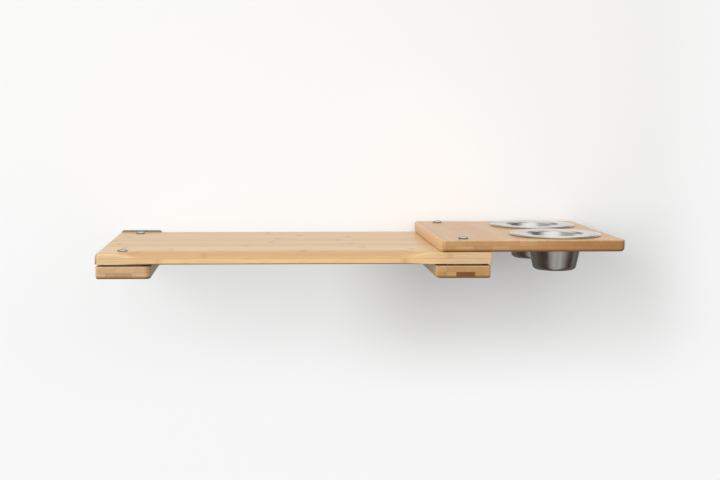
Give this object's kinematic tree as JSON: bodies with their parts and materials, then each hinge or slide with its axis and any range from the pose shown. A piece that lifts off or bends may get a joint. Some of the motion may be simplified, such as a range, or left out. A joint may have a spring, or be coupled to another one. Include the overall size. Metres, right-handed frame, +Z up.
{
  "type": "wall-mounted cat feeding shelf",
  "caption": "Bamboo wall shelf for a cat, held by two hidden steel brackets, with a raised platform at its right end that carries lift-out steel feeding bowls.",
  "frame": {"origin": "on the wall, midway between the two brackets, level with the plank's underside", "axes": "+X to the right along the wall as someone facing the shelf sees it, +Y into the wall, +Z up; the shelf reaches out from the wall towards -Y"},
  "size_m": [0.626, 0.3139, 0.061],
  "materials": {
    "plank_bamboo": "satin clear lacquer over laminated bamboo, grain along the plank",
    "platform_bamboo": "satin clear lacquer over laminated bamboo, end grain on the front edge",
    "block_bamboo": "satin clear lacquer over laminated bamboo, end grain on the front face",
    "bracket_steel": "dark zinc-plated sheet",
    "fastener_steel": "zinc-plated",
    "insert_brass": "turned",
    "bowl_steel": "polished stainless, finely brushed inside"
  },
  "bodies": {
    "shelf": {"shelf_plank": "plank_bamboo", "bowl_platform": "platform_bamboo", "left_bracket_block": "block_bamboo", "left_wall_bracket": "bracket_steel", "left_front_bolt": "fastener_steel", "left_front_insert": "insert_brass", "left_front_block_screw": "fastener_steel", "left_rear_bolt": "fastener_steel", "left_rear_insert": "insert_brass", "left_rear_block_screw": "fastener_steel", "left_upper_wall_screw": "fastener_steel", "left_lower_wall_screw": "fastener_steel", "right_bracket_block": "block_bamboo", "right_wall_bracket": "bracket_steel", "right_front_bolt": "fastener_steel", "right_front_insert": "insert_brass", "right_front_block_screw": "fastener_steel", "right_rear_bolt": "fastener_steel", "right_rear_insert": "insert_brass", "right_rear_block_screw": "fastener_steel", "right_upper_wall_screw": "fastener_steel", "right_lower_wall_screw": "fastener_steel"},
    "front_bowl": {"front_bowl": "bowl_steel"},
    "rear_bowl": {"rear_bowl": "bowl_steel"}
  },
  "joints": [
    {"name": "front_bowl_lift", "type": "slide", "parent": "shelf", "child": "front_bowl", "axis": [0, 0, 1], "range_m": [0, 0.06]},
    {"name": "rear_bowl_lift", "type": "slide", "parent": "shelf", "child": "rear_bowl", "axis": [0, 0, 1], "range_m": [0, 0.06]}
  ]
}
